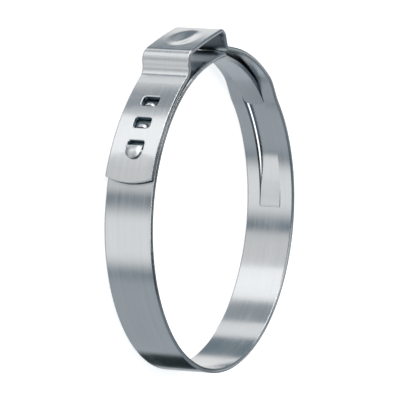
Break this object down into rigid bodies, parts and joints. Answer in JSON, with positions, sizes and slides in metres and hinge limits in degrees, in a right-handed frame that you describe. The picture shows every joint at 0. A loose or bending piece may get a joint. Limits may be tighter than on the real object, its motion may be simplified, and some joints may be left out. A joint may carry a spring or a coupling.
{
  "type": "ear hose clamp",
  "caption": "Single-ear hose clamp: a wound flat band of steel with a folded ear to pinch shut, a hooked overlap and a smooth bore made by a tongue in a groove.",
  "frame": {"origin": "on the bore's axis, in the plane of the lower rim that the ring lies on", "axes": "+Z along the bore's axis, from the lower rim to the upper one; +Y from the bore's axis through the middle of the ear"},
  "size_m": [0.043, 0.0455, 0.007],
  "materials": {
    "stainless_steel": "bright cold-rolled strip with fine rolling lines along the band"
  },
  "bodies": {
    "root": {"clamp_band": "stainless_steel"}
  },
  "joints": []
}
